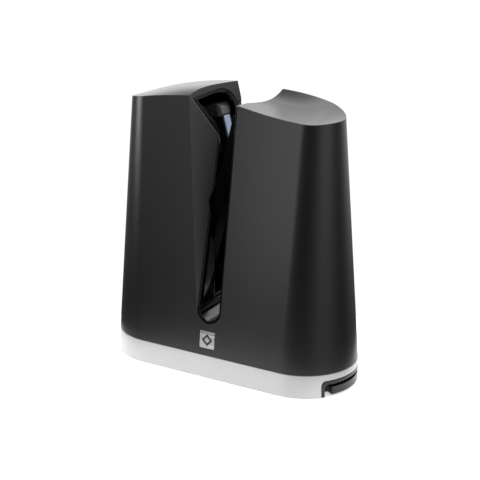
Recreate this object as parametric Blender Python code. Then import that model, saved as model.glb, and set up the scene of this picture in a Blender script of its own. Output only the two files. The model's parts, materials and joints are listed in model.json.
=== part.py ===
"""Table-top V-stone knife sharpener: tapered shell, knife slot, two crossing sprung arms, stone drawer.

Metres, +Z up. The knife is drawn along Y through the slot; the drawer slides out along +X.
"""

import math

import bmesh
import bpy
from mathutils import Matrix, Vector

MM = 0.001

# ---- body envelope -------------------------------------------------------------------------
BASE_LENGTH = 198.4 * MM          # along X, at the table
BASE_DEPTH = 82.0 * MM            # along Y, at the table
END_DRAFT = 0.0723                # each end leans in by this much per unit of height
FACE_DRAFT = 0.1022               # front and rear lean in by this much per unit of height
END_SEGMENTS = 20                 # facets round each half-round end
LEFT_TOP_HEIGHT = 209.8 * MM      # highest line of the crowned left hump
LEFT_FRONT_HEIGHT = 204.1 * MM
RIGHT_TOP_HEIGHT = 207.9 * MM     # rear lip of the scooped right hump
RIGHT_FRONT_HEIGHT = 192.8 * MM
LEFT_CROWN_X = -5.0 * MM          # where the left hump's front edge is highest
LEFT_FRONT_CURVE = 1.25           # how fast the hump edges fall away, per metre squared
LEFT_REAR_CURVE = 1.95
RIGHT_SCOOP_X = 72.0 * MM         # where the right hump's front edge is lowest
RIGHT_FRONT_CURVE = 0.725
RIGHT_LIP_X = 18.0 * MM           # where the right hump's rear lip is highest
RIGHT_REAR_CURVE = 2.93

# ---- walls and clearances ------------------------------------------------------------------
SHELL_WALL = 2.6 * MM
LINER_WALL = 1.4 * MM
GAP = 0.3 * MM                    # between pieces that rest on or sit in each other
FOOT_STAND = 0.6 * MM             # band stands this far off the table on its feet
BAND_TOP = 17.0 * MM
BAND_WALL = 2.2 * MM

# ---- knife slot ----------------------------------------------------------------------------
SLOT_BOTTOM_X = -1.0 * MM
SLOT_BOTTOM_Z = 51.0 * MM
SLOT_RADIUS = 10.0 * MM
SLOT_FLARE_LEFT = 0.018           # left channel wall leans out by this much per unit of height
SLOT_FLARE_RIGHT = 0.0374
FACET_TURN = 0.424                # plan slope of the two lead-in facets
FACET_LEFT_LEAN = 0.1383
FACET_RIGHT_LEAN = 0.1633
FACET_LEFT_START = 11.13 * MM     # where each facet's plane meets the table in the middle plane
FACET_RIGHT_START = -14.5 * MM
ARCH_FOOT = (-13.3 * MM, 0.6 * MM, 178.0 * MM)   # foot of the arch on the left channel wall
ARCH_TURN = 0.2475                # the wall behind it swings in by this much along Y
ARCH_LEAN = 0.04695
WINDOW_FRONT = 15.6 * MM          # reach of the arm window in front of the middle plane
WINDOW_REAR = 16.8 * MM           # and behind it
WINDOW_LIP = 1.1 * MM             # its upper half stops this far in front of the middle plane
WINDOW_FLOOR = 54.0 * MM
WINDOW_STEP = 128.0 * MM          # height at which the window starts to narrow to the lip
LIP_FOOT = 152.0 * MM
LIP_HEAD = 180.8 * MM
LEFT_WINDOW_HEAD = 204.9 * MM     # height of its sloping head in the middle plane
LEFT_HEAD_SLOPE = 0.216
LEFT_HEAD_FRONT = 17.6 * MM
RIGHT_HEAD_RISE = 3.2 * MM        # the right window's level head over that hump's front edge
RIGHT_HEAD_FRONT = 13.0 * MM
POCKET_END = 57.0 * MM            # how far the arm pockets reach to each side

# ---- badge ---------------------------------------------------------------------------------
BADGE_X = -1.4 * MM
BADGE_Z = 28.9 * MM
BADGE_WIDTH = 12.6 * MM
BADGE_HEIGHT = 12.8 * MM
BADGE_DEPTH = 0.9 * MM            # plate thickness, set flush in the front face

# ---- sharpening arms -----------------------------------------------------------------------
V_X = -3.5 * MM                   # middle of the V between the stones
V_Z = 157.6 * MM                  # bottom of the V at rest
V_HALF_ANGLE = 15.0               # degrees
PIVOT_Z = 30.0 * MM
PIN_RADIUS = 2.5 * MM
PIN_CLEARANCE = 0.25 * MM
HUB_RADIUS = 8.0 * MM
ARM_WIDTH = 12.0 * MM             # along Y
ARM_DEPTH = 9.0 * MM              # square to its stone's face
ARM_SPLIT = 1.0 * MM              # each arm stays this far from the middle plane
STONE_LENGTH = 75.0 * MM
STONE_WIDTH = 7.5 * MM
STONE_THICKNESS = 2.6 * MM
STONE_PROUD = 0.8 * MM            # the stone stands this far out of the arm
STONE_TOP = 162.0 * MM            # along the arm, from its pivot
LEFT_CAP_HEIGHT = 9.5 * MM
RIGHT_CAP_HEIGHT = 5.5 * MM       # lower, to stay under the right hump
CAP_LENGTH = 17.0 * MM
LEG_START = 34.0 * MM             # along the arm: below this it narrows to its foot
TONGUE_NEAR = 4.5 * MM            # reach of the cap's tongue from the stone's face
TONGUE_FAR = 8.8 * MM

# ---- mechanism frame -----------------------------------------------------------------------
FRAME_PLATE_Y = 16.0 * MM         # inner faces of the frame plates
FRAME_PLATE_THICKNESS = 2.0 * MM
FRAME_TOP = 52.0 * MM
FRAME_END = 16.0 * MM             # plates run on past the arm pins by this much
FRAME_DIP = 14.5 * MM             # half width of the dip that clears the slot
ROD_RADIUS = 2.0 * MM
SLEEVE_RADIUS = 4.0 * MM

# ---- base and drawer -----------------------------------------------------------------------
PLATE_THICKNESS = 2.0 * MM
DECK_TOP = 15.6 * MM
DECK_THICKNESS = 2.2 * MM
FOOT_RADIUS = 4.5 * MM
DOORWAY_ANGLE = 44.0              # degrees each side of +X where the band is cut away
DOORWAY_TOP = 12.6 * MM
RIM_WALL = 2.4 * MM
RIM_DEPTH = 4.5 * MM              # how far the rim reaches in from the band's outside
DRAWER_FLOOR = 4.4 * MM
DRAWER_TOP = DOORWAY_TOP - GAP - RIM_WALL - 0.5 * MM   # clears the rim when it slides out
DRAWER_HALF_WIDTH = 20.0 * MM
DRAWER_INNER_END = -18.0 * MM
DRAWER_WALL = 1.6 * MM
SPARE_STONES = 4
SCREW_HEAD_RADIUS = 3.2 * MM
SCREW_RADIUS = 1.5 * MM
BOSS_RADIUS = 4.0 * MM

TALL = 240.0 * MM                 # above everything, for cutting


# ---- helpers -------------------------------------------------------------------------------
def clear_scene():
    for obj in list(bpy.data.objects):
        bpy.data.objects.remove(obj, do_unlink=True)


def make_material(name, colour, roughness, metallic=0.0):
    material = bpy.data.materials.new(name)
    material.use_nodes = True
    shader = material.node_tree.nodes["Principled BSDF"]
    shader.inputs["Base Color"].default_value = (*colour, 1.0)
    shader.inputs["Roughness"].default_value = roughness
    shader.inputs["Metallic"].default_value = metallic
    return material


def object_from_bmesh(name, bm):
    bmesh.ops.recalc_face_normals(bm, faces=bm.faces)
    mesh = bpy.data.meshes.new(name)
    bm.to_mesh(mesh)
    bm.free()
    obj = bpy.data.objects.new(name, mesh)
    bpy.context.scene.collection.objects.link(obj)
    return obj


def loft(name, rings):
    """Closed solid through equal-length rings of points, capped at both ends."""
    bm = bmesh.new()
    levels = [[bm.verts.new(point) for point in ring] for ring in rings]
    count = len(rings[0])
    for low, high in zip(levels, levels[1:]):
        for i in range(count):
            j = (i + 1) % count
            bm.faces.new((low[i], low[j], high[j], high[i]))
    bm.faces.new(list(reversed(levels[0])))
    bm.faces.new(levels[-1])
    return object_from_bmesh(name, bm)


def prism_x(name, outline, low, high):
    return loft(name, [[(x, y, z) for y, z in outline] for x in (low, high)])


def prism_y(name, outline, low, high):
    return loft(name, [[(x, y, z) for x, z in outline] for y in (low, high)])


def prism_z(name, outline, low, high):
    return loft(name, [[(x, y, z) for x, y in outline] for z in (low, high)])


def block(name, low, high):
    outline = [(low[0], low[1]), (high[0], low[1]), (high[0], high[1]), (low[0], high[1])]
    return prism_z(name, outline, low[2], high[2])


def disc(centre, radius, segments=16):
    steps = [2.0 * math.pi * i / segments for i in range(segments)]
    return [(centre[0] + radius * math.cos(a), centre[1] + radius * math.sin(a)) for a in steps]


def rounded(points, radii, steps=5):
    """Outline with each corner replaced by an arc of its own radius."""
    outline = []
    count = len(points)
    for i, (point, radius) in enumerate(zip(points, radii)):
        corner = Vector(point)
        before = (Vector(points[i - 1]) - corner).normalized()
        after = (Vector(points[(i + 1) % count]) - corner).normalized()
        if radius == 0:
            outline.append(tuple(corner))
            continue
        half = before.angle(after) / 2.0
        reach = radius / math.tan(half)
        centre = corner + (before + after).normalized() * radius / math.sin(half)
        start = corner + before * reach - centre
        turn = start.angle_signed(corner + after * reach - centre)
        for k in range(steps + 1):
            outline.append(tuple(centre + Matrix.Rotation(-turn * k / steps, 2) @ start))
    return outline


def boolean(target, tool, operation):
    modifier = target.modifiers.new("cut", "BOOLEAN")
    modifier.operation = operation
    modifier.solver = "EXACT"
    modifier.object = tool
    graph = bpy.context.evaluated_depsgraph_get()
    mesh = bpy.data.meshes.new_from_object(target.evaluated_get(graph))
    target.modifiers.clear()
    target.data = mesh
    bpy.data.objects.remove(tool, do_unlink=True)
    return target


def cut(target, *tools):
    for tool in tools:
        boolean(target, tool, "DIFFERENCE")
    return target


def join(target, *tools):
    for tool in tools:
        boolean(target, tool, "UNION")
    return target


def finish(obj, name, material, smooth_angle=30.0):
    obj.name = name
    obj.data.name = name
    obj.data.materials.clear()
    obj.data.materials.append(material)
    obj.data.shade_smooth()
    obj.data.set_sharp_from_angle(angle=math.radians(smooth_angle))
    return obj


def keep_side(obj, point, normal):
    """Keeps the part of a solid on the side of a plane that its normal points away from."""
    bm = bmesh.new()
    bm.from_mesh(obj.data)
    geometry = bm.verts[:] + bm.edges[:] + bm.faces[:]
    result = bmesh.ops.bisect_plane(
        bm, geom=geometry, plane_co=point, plane_no=normal, clear_outer=True)
    edges = [item for item in result["geom_cut"] if isinstance(item, bmesh.types.BMEdge)]
    bmesh.ops.holes_fill(bm, edges=edges, sides=0)
    bmesh.ops.recalc_face_normals(bm, faces=bm.faces)
    bm.to_mesh(obj.data)
    bm.free()
    return obj


# ---- body envelope -------------------------------------------------------------------------
def half_length(z):
    return BASE_LENGTH / 2.0 - END_DRAFT * z


def half_depth(z):
    return BASE_DEPTH / 2.0 - FACE_DRAFT * z


def end_centre(z):
    """X of the middle of the half-round end at a height."""
    return half_length(z) - half_depth(z)


def envelope_ring(z, inset=0.0):
    radius = half_depth(z) - inset
    centre = end_centre(z)
    ring = []
    for side, start in ((1, -90.0), (-1, 90.0)):
        for i in range(END_SEGMENTS + 1):
            angle = math.radians(start + 180.0 * i / END_SEGMENTS)
            ring.append((side * centre + radius * math.cos(angle), radius * math.sin(angle), z))
    return ring


def envelope(name, low, high, inset=0.0):
    return loft(name, [envelope_ring(low, inset), envelope_ring(high, inset)])


def left_top(x, depth):
    """Top of the left hump; depth runs from 0 at the front face to 1 at the rear face."""
    front = LEFT_FRONT_HEIGHT - LEFT_FRONT_CURVE * (x - LEFT_CROWN_X) ** 2
    rear = LEFT_TOP_HEIGHT - LEFT_REAR_CURVE * x ** 2
    inward = min(1.0, max(0.0, (x + 85.0 * MM) / (60.0 * MM)))
    power = 1.8 + 3.2 * inward          # softer shoulder towards the end of the body
    return front + (rear - front) * (1.0 - (1.0 - depth) ** power)


def right_top(x, depth):
    """Top of the right hump: a scoop that rises to a lip along the rear face."""
    front = RIGHT_FRONT_HEIGHT + RIGHT_FRONT_CURVE * abs(x - RIGHT_SCOOP_X) ** 1.6
    rear = RIGHT_TOP_HEIGHT - RIGHT_REAR_CURVE * (x - RIGHT_LIP_X) ** 2
    outward = min(1.0, max(0.0, (x - 14.0 * MM) / (56.0 * MM)))
    power = 6.5 - 5.2 * outward         # a narrow lip at the slot that spreads to a full slope
    return front + (rear - front) * depth ** power


def above_top(name, drop=0.0):
    """Everything above the two humps, lowered by drop, as one cutting solid."""
    reach = half_length(0.0)
    columns = 9
    rows = 12
    edge = half_depth(LEFT_FRONT_HEIGHT)
    split = SLOT_BOTTOM_X
    xs = [-reach + (split + reach) * i / columns for i in range(columns + 1)]
    xs += [split + 0.02 * MM + (reach - split) * i / columns for i in range(columns + 1)]
    depths = [i / rows for i in range(rows + 1)]
    bm = bmesh.new()
    grid = []
    for x in xs:
        top = left_top if x <= split else right_top
        line = [(-2.0 * edge, top(x, 0.0))]
        line += [((2.0 * d - 1.0) * edge, top(x, d)) for d in depths]
        line += [(2.0 * edge, top(x, 1.0))]
        grid.append([bm.verts.new((x, y, z - drop)) for y, z in line])
    lid = [[bm.verts.new((v.co.x, v.co.y, TALL)) for v in line] for line in grid]
    for a in range(len(xs) - 1):
        for k in range(len(grid[0]) - 1):
            bm.faces.new((grid[a][k], grid[a + 1][k], grid[a + 1][k + 1], grid[a][k + 1]))
            bm.faces.new((lid[a][k], lid[a][k + 1], lid[a + 1][k + 1], lid[a + 1][k]))
        for k in (0, len(grid[0]) - 1):
            bm.faces.new((grid[a][k], lid[a][k], lid[a + 1][k], grid[a + 1][k]))
    for a in (0, len(xs) - 1):
        for k in range(len(grid[0]) - 1):
            bm.faces.new((grid[a][k], grid[a][k + 1], lid[a][k + 1], lid[a][k]))
    bmesh.ops.triangulate(bm, faces=bm.faces)
    return object_from_bmesh(name, bm)


# ---- knife slot ----------------------------------------------------------------------------
def channel_wall(side, z):
    """X of a channel wall at a height; side is -1 for left, 1 for right."""
    flare = SLOT_FLARE_LEFT if side < 0 else SLOT_FLARE_RIGHT
    return SLOT_BOTTOM_X + side * (SLOT_RADIUS + flare * (z - SLOT_BOTTOM_Z))


def channel(name, inset=0.0):
    """The straight knife channel with its half-round bottom, drawn in by inset."""
    outline = [(channel_wall(-1, TALL) + inset, TALL)]
    for i in range(13):
        angle = math.pi + math.pi * i / 12
        radius = SLOT_RADIUS - inset
        outline.append((SLOT_BOTTOM_X + radius * math.cos(angle),
                        SLOT_BOTTOM_Z + radius * math.sin(angle)))
    outline.append((channel_wall(1, TALL) - inset, TALL))
    solid = prism_y(name, outline, -BASE_DEPTH, BASE_DEPTH)
    # the rear of the left wall swings in to the foot of the arch
    foot = Vector(ARCH_FOOT) + Vector((inset, 0.0, 0.0))
    normal = Vector((-1.0, ARCH_TURN, ARCH_LEAN)).normalized()
    return keep_side(solid, foot, normal)


def facet_wedge(name, side, proud=0.0):
    """Lead-in space in front of one facet: left facet at the front, right facet at the rear."""
    lean = FACET_LEFT_LEAN if side < 0 else FACET_RIGHT_LEAN
    start = FACET_LEFT_START if side < 0 else FACET_RIGHT_START
    middle = SLOT_BOTTOM_X
    far = side * 80.0 * MM
    low = (min(middle, far), -BASE_DEPTH, SLOT_BOTTOM_Z)
    high = (max(middle, far), BASE_DEPTH, TALL)
    solid = block(name, low, high)
    # facet plane: x = start + turn * y -+ lean * z
    normal = Vector((side, -side * FACET_TURN, -lean)).normalized()
    point = Vector((start, 0.0, 0.0)) - normal * proud
    return keep_side(solid, point, normal)


def slot_void(name, inset=0.0):
    void = channel(name, inset)
    for side in (-1, 1):
        join(void, facet_wedge("wedge", side, inset))
    return void


def window_outline(side, inset=0.0):
    """Arm window in Y and Z; the right one is the left one turned half round, with a lower top."""
    rear = WINDOW_REAR - inset
    front = -WINDOW_FRONT + inset
    lip = -WINDOW_LIP + inset
    low = WINDOW_FLOOR + inset
    points = [(front, low), (rear, low)]
    radii = [3.0 * MM, 3.0 * MM]
    if side < 0:
        head = LEFT_WINDOW_HEAD - inset
        corner = -LEFT_HEAD_FRONT + 1.6 * inset
        points += [(rear, head + LEFT_HEAD_SLOPE * rear), (corner, head - LEFT_HEAD_SLOPE * LEFT_HEAD_FRONT)]
        radii += [12.0 * MM, 1.0 * MM]
    else:
        head = RIGHT_FRONT_HEIGHT + RIGHT_HEAD_RISE - inset
        points += [(rear, head), (-RIGHT_HEAD_FRONT + 1.6 * inset, head)]
        radii += [9.0 * MM, 1.0 * MM]
    points += [(lip, LIP_HEAD), (lip, LIP_FOOT), (front, WINDOW_STEP)]
    radii += [22.0 * MM, 8.0 * MM, 8.0 * MM]
    outline = rounded(points, radii)
    if side > 0:
        outline = [(-y, z) for y, z in reversed(outline)]
    return outline


def window_prism(name, side, inset=0.0, reach=POCKET_END):
    ends = sorted((side * -1.0 * MM, side * reach))
    return prism_x(name, window_outline(side, inset), ends[0], ends[1])


# ---- shell and liners ----------------------------------------------------------------------
def shell_boss_places():
    x = end_centre(BAND_TOP) - 6.7 * MM
    y = half_depth(BAND_TOP) - SHELL_WALL - BOSS_RADIUS + 0.5 * MM
    return [(turn * x, side * y) for turn in (-1, 1) for side in (-1, 1)]


def housing_shell(material):
    floor = BAND_TOP + GAP
    shell = envelope("shell", floor, TALL - 10.0 * MM)
    hollow = envelope("hollow", floor - 5.0 * MM, TALL, SHELL_WALL)
    cut(hollow, above_top("roof", SHELL_WALL), slot_void("walls", -SHELL_WALL))
    cut(shell, hollow, above_top("sky"), slot_void("slot"))
    for x, y in shell_boss_places():
        join(shell, prism_z("boss", disc((x, y), BOSS_RADIUS), floor, floor + 12.0 * MM))
        cut(shell, prism_z("hole", disc((x, y), SCREW_RADIUS + GAP, 10),
                           floor - 1.0 * MM, floor + 10.0 * MM))
    for side in (-1, 1):
        cut(shell, window_prism("window", side, 0.0, 30.0 * MM))
    recess = block("recess", (BADGE_X - BADGE_WIDTH / 2.0 - GAP, -BASE_DEPTH,
                              BADGE_Z - BADGE_HEIGHT / 2.0 - GAP),
                   (BADGE_X + BADGE_WIDTH / 2.0 + GAP, 0.0, BADGE_Z + BADGE_HEIGHT / 2.0 + GAP))
    face = Vector((0.0, -half_depth(BADGE_Z) + BADGE_DEPTH + GAP, BADGE_Z))
    keep_side(recess, face, Vector((0.0, 1.0, -FACE_DRAFT)).normalized())
    cut(shell, recess)
    return finish(shell, "housing_shell", material)


def slot_liner(side, material):
    """Glossy insert: a channel wall and the pocket that an arm swings into."""
    liner = channel("liner", GAP)
    pocket = window_prism("pocket", side, GAP)
    room = envelope("room", BAND_TOP, TALL, SHELL_WALL + GAP)
    cut(room, above_top("roof", SHELL_WALL + GAP + LINER_WALL))
    join(liner, boolean(pocket, room, "INTERSECT"))
    inner = window_prism("inner", side, GAP + LINER_WALL, POCKET_END - LINER_WALL)
    inner_room = envelope("inner_room", BAND_TOP, TALL, SHELL_WALL + GAP + LINER_WALL)
    cut(inner_room, above_top("roof", SHELL_WALL + GAP + 2.0 * LINER_WALL))
    boolean(inner, inner_room, "INTERSECT")
    cut(liner, inner, channel("knife_space", GAP + LINER_WALL))
    cut(liner, facet_wedge("facet", side, -0.1 * MM))
    keep_side(liner, Vector((SLOT_BOTTOM_X, 0.0, 0.0)), Vector((-side, 0.0, 0.0)))
    keep_side(liner, Vector((0.0, 0.0, SLOT_BOTTOM_Z + 1.5 * MM)), Vector((0.0, 0.0, -1.0)))
    # the arms rise into the pocket from below
    rim = GAP + LINER_WALL - 0.1 * MM
    ends = sorted((SLOT_BOTTOM_X, side * (POCKET_END - LINER_WALL + 0.1 * MM)))
    spread = sorted((side * (WINDOW_FRONT - rim), side * (rim - WINDOW_REAR)))
    cut(liner, block("mouth", (ends[0], spread[0], 0.0), (ends[1], spread[1], 70.0 * MM)))
    faces = envelope("faces", BAND_TOP, TALL, 0.8 * MM)
    cut(faces, above_top("roof", 0.8 * MM))
    boolean(liner, faces, "INTERSECT")
    word = "left" if side < 0 else "right"
    return finish(liner, "slot_liner_" + word, material)


def slot_floor(material):
    """Glossy trough under the knife channel, with a raised edge along its left side."""
    top = SLOT_BOTTOM_Z + 1.2 * MM
    floor = channel("floor", GAP)
    left = SLOT_BOTTOM_X - SLOT_RADIUS + GAP + LINER_WALL
    right = SLOT_BOTTOM_X + SLOT_RADIUS - GAP - LINER_WALL
    bed = SLOT_BOTTOM_Z - SLOT_RADIUS + GAP + LINER_WALL
    outline = [(left, TALL), (left, bed + 6.0 * MM), (left + 1.6 * MM, bed + 3.6 * MM),
               (left + 7.0 * MM, bed + 0.2 * MM), (right - 6.0 * MM, bed + 0.2 * MM),
               (right - 1.0 * MM, bed + 5.0 * MM), (right, bed + 8.0 * MM), (right, TALL)]
    cut(floor, prism_y("knife_space", outline, -BASE_DEPTH, BASE_DEPTH))
    keep_side(floor, Vector((0.0, 0.0, top)), Vector((0.0, 0.0, 1.0)))
    boolean(floor, envelope("faces", 0.0, TALL, 0.8 * MM), "INTERSECT")
    return finish(floor, "slot_floor", material)


def emblem_plate(material):
    """Plain bright plate set flush in the front face under the slot."""
    plate = block("plate", (-BADGE_WIDTH / 2.0, -BADGE_DEPTH / 2.0, -BADGE_HEIGHT / 2.0),
                  (BADGE_WIDTH / 2.0, BADGE_DEPTH / 2.0, BADGE_HEIGHT / 2.0))
    plate.rotation_euler = (-math.atan(FACE_DRAFT), 0.0, 0.0)
    plate.location = (BADGE_X, -half_depth(BADGE_Z) + BADGE_DEPTH / 2.0 + 0.1 * MM, BADGE_Z)
    return finish(plate, "emblem_plate", material)


# ---- base ----------------------------------------------------------------------------------
END_RADIUS = BASE_DEPTH / 2.0     # of the half-round ends at the table


def doorway(name, inset, low, inner, outer):
    """Arched opening round the right end, as a solid; inset draws its sides and top in."""
    radius = END_RADIUS
    corner = 4.0 * MM
    half = math.radians(DOORWAY_ANGLE) - inset / radius
    top = DOORWAY_TOP - inset
    centre = end_centre(0.0)
    spread = [0.0, 0.08, 0.25, 0.5, 0.75, 1.0]
    near = [corner * (1.0 - math.cos(math.pi / 2.0 * s)) / radius for s in spread]
    middle = [-0.5, -0.25, 0.0, 0.25, 0.5]
    angles = [-half + a for a in near] + [half * m for m in middle]
    angles += [half - a for a in reversed(near)]
    rings = []
    for angle in angles:
        run = min((half - abs(angle)) * radius, corner)
        height = top - corner + math.sqrt(max(0.0, corner ** 2 - (corner - run) ** 2))
        points = [(inner, low), (outer, low), (outer, height), (inner, height)]
        rings.append([(centre + r * math.cos(angle), r * math.sin(angle), z) for r, z in points])
    return loft(name, rings)


def base_band(material):
    band = envelope("band", FOOT_STAND, BAND_TOP)
    cut(band, envelope("inside", -5.0 * MM, 30.0 * MM, BAND_WALL))
    cut(band, doorway("door", 0.0, -5.0 * MM, 0.5 * END_RADIUS, 1.5 * END_RADIUS))
    return finish(band, "base_band", material)


def doorway_rim(material):
    """Dark arch that trims the opening in the band."""
    rim = doorway("rim", GAP, FOOT_STAND, END_RADIUS - RIM_DEPTH, 1.5 * END_RADIUS)
    cut(rim, doorway("door", GAP + RIM_WALL, -5.0 * MM, 0.5 * END_RADIUS, 1.7 * END_RADIUS))
    boolean(rim, envelope("faces", 0.0, 40.0 * MM), "INTERSECT")
    return finish(rim, "doorway_rim", material)


BASE_SCREW_X = end_centre(BAND_TOP) - 16.7 * MM
BASE_SCREW_Y = END_RADIUS - 10.0 * MM
BASE_SCREWS = [(x, y) for x in (-BASE_SCREW_X, BASE_SCREW_X) for y in (-BASE_SCREW_Y, BASE_SCREW_Y)]
FOOT_X = BASE_LENGTH / 2.0 - 33.2 * MM
FOOT_Y = END_RADIUS - 10.3 * MM
FOOT_PLACES = [("front_left", -FOOT_X, -FOOT_Y), ("front_right", FOOT_X, -FOOT_Y),
               ("rear_left", -FOOT_X, FOOT_Y), ("rear_right", FOOT_X, FOOT_Y)]
PLATE_BOTTOM = FOOT_STAND + 1.0 * MM
PLATE_TOP = PLATE_BOTTOM + PLATE_THICKNESS
DECK_BOTTOM = DECK_TOP - DECK_THICKNESS


def base_plate(material):
    plate = envelope("plate", PLATE_BOTTOM, PLATE_TOP, BAND_WALL + GAP)
    near = end_centre(0.0) - 4.2 * MM
    side = DRAWER_HALF_WIDTH + 6.0 * MM
    cut(plate, block("notch", (near, -side, 0.0), (BASE_LENGTH, side, 10.0 * MM)),
        doorway("door", 0.0, -5.0 * MM, END_RADIUS - 5.0 * MM, 1.5 * END_RADIUS))
    for x, y in BASE_SCREWS:
        seat = disc((x, y), 5.0 * MM)
        join(plate, prism_z("seat", seat, PLATE_TOP - 0.5 * MM, PLATE_TOP + 1.5 * MM))
        cut(plate, prism_z("counterbore", disc((x, y), SCREW_HEAD_RADIUS + GAP), 0.0, PLATE_TOP),
            prism_z("hole", disc((x, y), SCREW_RADIUS + GAP, 10), 0.0, 10.0 * MM))
    return finish(plate, "base_plate", material)


def frame_screw_places():
    y = FRAME_PLATE_Y + FRAME_PLATE_THICKNESS + 3.6 * MM
    return [(x * MM, side * y) for x in (-44.0, 38.0) for side in (-1, 1)]


def base_deck(material):
    """Upper deck over the drawer: carries the mechanism and takes the shell and base screws."""
    deck = envelope("deck", DECK_BOTTOM, DECK_TOP, BAND_WALL + GAP)
    for x, y in BASE_SCREWS:
        post = disc((x, y), BOSS_RADIUS)
        join(deck, prism_z("post", post, PLATE_TOP + 1.8 * MM, DECK_TOP - 0.5 * MM))
        cut(deck, prism_z("hole", disc((x, y), SCREW_RADIUS + GAP, 10), 0.0, DECK_TOP - 1.4 * MM))
    for x, y in shell_boss_places():
        pad = disc((x, y), BOSS_RADIUS - 0.9 * MM)
        join(deck, prism_z("pad", pad, DECK_TOP - 0.5 * MM, BAND_TOP))
        cut(deck, prism_z("hole", disc((x, y), SCREW_RADIUS + GAP, 10), 0.0, 30.0 * MM))
    for x, y in frame_screw_places():
        cut(deck, prism_z("hole", disc((x, y), SCREW_RADIUS + GAP, 10), 0.0, 30.0 * MM))
    return finish(deck, "base_deck", material)


def screw(x, y, seat, tip):
    """Pan-head screw along Z; the head sits at seat and the shank runs to tip."""
    away = -1.0 if tip > seat else 1.0
    crown = seat + away * 1.3 * MM
    head = prism_z("head", disc((x, y), SCREW_HEAD_RADIUS, 12), *sorted((seat, crown)))
    ends = sorted((seat + away * 0.5 * MM, tip))
    join(head, prism_z("shank", disc((x, y), SCREW_RADIUS, 8), ends[0], ends[1]))
    drive = block("drive", (x - 1.6 * MM, y - 0.4 * MM, crown - 0.7 * MM),
                  (x + 1.6 * MM, y + 0.4 * MM, crown + 0.7 * MM))
    cut(head, drive)
    return head


def screws(name, places, seat, tip, material):
    for number, (x, y) in enumerate(places, 1):
        finish(screw(x, y, seat, tip), name + "_" + str(number), material)


def feet(material):
    for word, x, y in FOOT_PLACES:
        foot = prism_z("foot", disc((0.0, 0.0), FOOT_RADIUS, 20), 0.0, PLATE_BOTTOM - GAP)
        foot.location = (x, y, 0.0)
        finish(foot, "foot_" + word, material)


# ---- mechanism -----------------------------------------------------------------------------
def pivot(side):
    """Pivot of an arm; the left arm (-1) hangs on the right-hand pin, so that the arms cross."""
    reach = (V_Z - PIVOT_Z) * math.tan(math.radians(V_HALF_ANGLE))
    return Vector((V_X - side * reach, 0.0, PIVOT_Z))


def arm_frame(side):
    """Matrix of an arm's own frame: +Z along the arm, -side * X towards the knife."""
    angle = math.radians(side * V_HALF_ANGLE)
    return Matrix.Translation(pivot(side)) @ Matrix.Rotation(angle, 4, "Y")


def arm_span(side):
    """Y range of an arm: the left arm runs behind the middle plane, the right arm before it."""
    return sorted((-side * ARM_SPLIT, -side * (ARM_SPLIT + ARM_WIDTH)))


def cap_height(side):
    return LEFT_CAP_HEIGHT if side < 0 else RIGHT_CAP_HEIGHT


def cap_pin_place(side):
    """Middle of the pin that holds the cap, in the arm's own X and Z."""
    middle = (TONGUE_NEAR + TONGUE_FAR) / 2.0
    return (side * middle, STONE_TOP + cap_height(side) / 2.0 - 0.9 * MM)


def rod_place(side):
    """The rest rod stands against the knife side of the arm, just above its hub."""
    return arm_frame(side) @ Vector((-side * (2.4 * MM + GAP + SLEEVE_RADIUS), 0.0, 16.0 * MM))


def ring_y(name, centre, outer, inner, low, high, segments=18):
    """Tube along Y about a point."""
    spot = (centre.x, centre.z)
    tube = prism_y(name, disc(spot, outer, segments), low, high)
    if inner:
        cut(tube, prism_y("bore", disc(spot, inner, segments), low - 0.01, high + 0.01))
    return tube


def frame_plate(name, side, material):
    """Upright plate that carries the pins and rods; side is -1 in front, 1 behind."""
    low = DECK_TOP + GAP
    ends = (pivot(1).x - FRAME_END, pivot(-1).x + FRAME_END)
    dip = SLOT_BOTTOM_Z - SLOT_RADIUS - SHELL_WALL - 1.0 * MM
    top = FRAME_TOP
    middle = SLOT_BOTTOM_X - 0.5 * MM
    rise = FRAME_DIP + 4.0 * MM
    outline = [(ends[0], low), (ends[1], low), (ends[1], top), (middle + rise, top),
               (middle + FRAME_DIP, dip), (middle - FRAME_DIP, dip), (middle - rise, top),
               (ends[0], top)]
    outline = rounded(outline, [0, 0, 6 * MM, 2 * MM, 2 * MM, 2 * MM, 2 * MM, 6 * MM], 4)
    inner = side * FRAME_PLATE_Y
    outer = side * (FRAME_PLATE_Y + FRAME_PLATE_THICKNESS)
    plate = prism_y("plate", outline, *sorted((inner, outer)))
    flange = sorted((inner, outer + side * 7.0 * MM))
    join(plate, block("flange", (ends[0], flange[0], low), (ends[1], flange[1], low + 1.8 * MM)))
    for arm in (-1, 1):
        spot = pivot(arm)
        cut(plate, prism_y("hole", disc((spot.x, spot.z), PIN_RADIUS + GAP), -0.05, 0.05))
        spot = rod_place(arm)
        cut(plate, prism_y("hole", disc((spot.x, spot.z), ROD_RADIUS + GAP), -0.05, 0.05))
    for x, y in frame_screw_places():
        cut(plate, prism_z("hole", disc((x, y), SCREW_RADIUS + GAP, 10), 0.0, 25.0 * MM))
    return finish(plate, name, material)


def headed_rod(name, spot, radius, head_radius, material):
    """Steel rod through both frame plates with a head in front of them."""
    reach = FRAME_PLATE_Y + FRAME_PLATE_THICKNESS
    rod = ring_y("rod", spot, radius, 0, -reach - 1.0 * MM, reach + 2.2 * MM)
    join(rod, ring_y("head", spot, head_radius, 0, -reach - 1.8 * MM, -reach - GAP))
    return finish(rod, name, material)


def stone(name, length, material):
    """Abrasive bar with eased long edges; its own X is the working face."""
    outline = rounded([(0.0, -STONE_WIDTH / 2), (STONE_THICKNESS, -STONE_WIDTH / 2),
                       (STONE_THICKNESS, STONE_WIDTH / 2), (0.0, STONE_WIDTH / 2)],
                      [0.3 * MM] * 4, 2)
    return finish(prism_z("stone", outline, 0.0, length), name, material)


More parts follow.
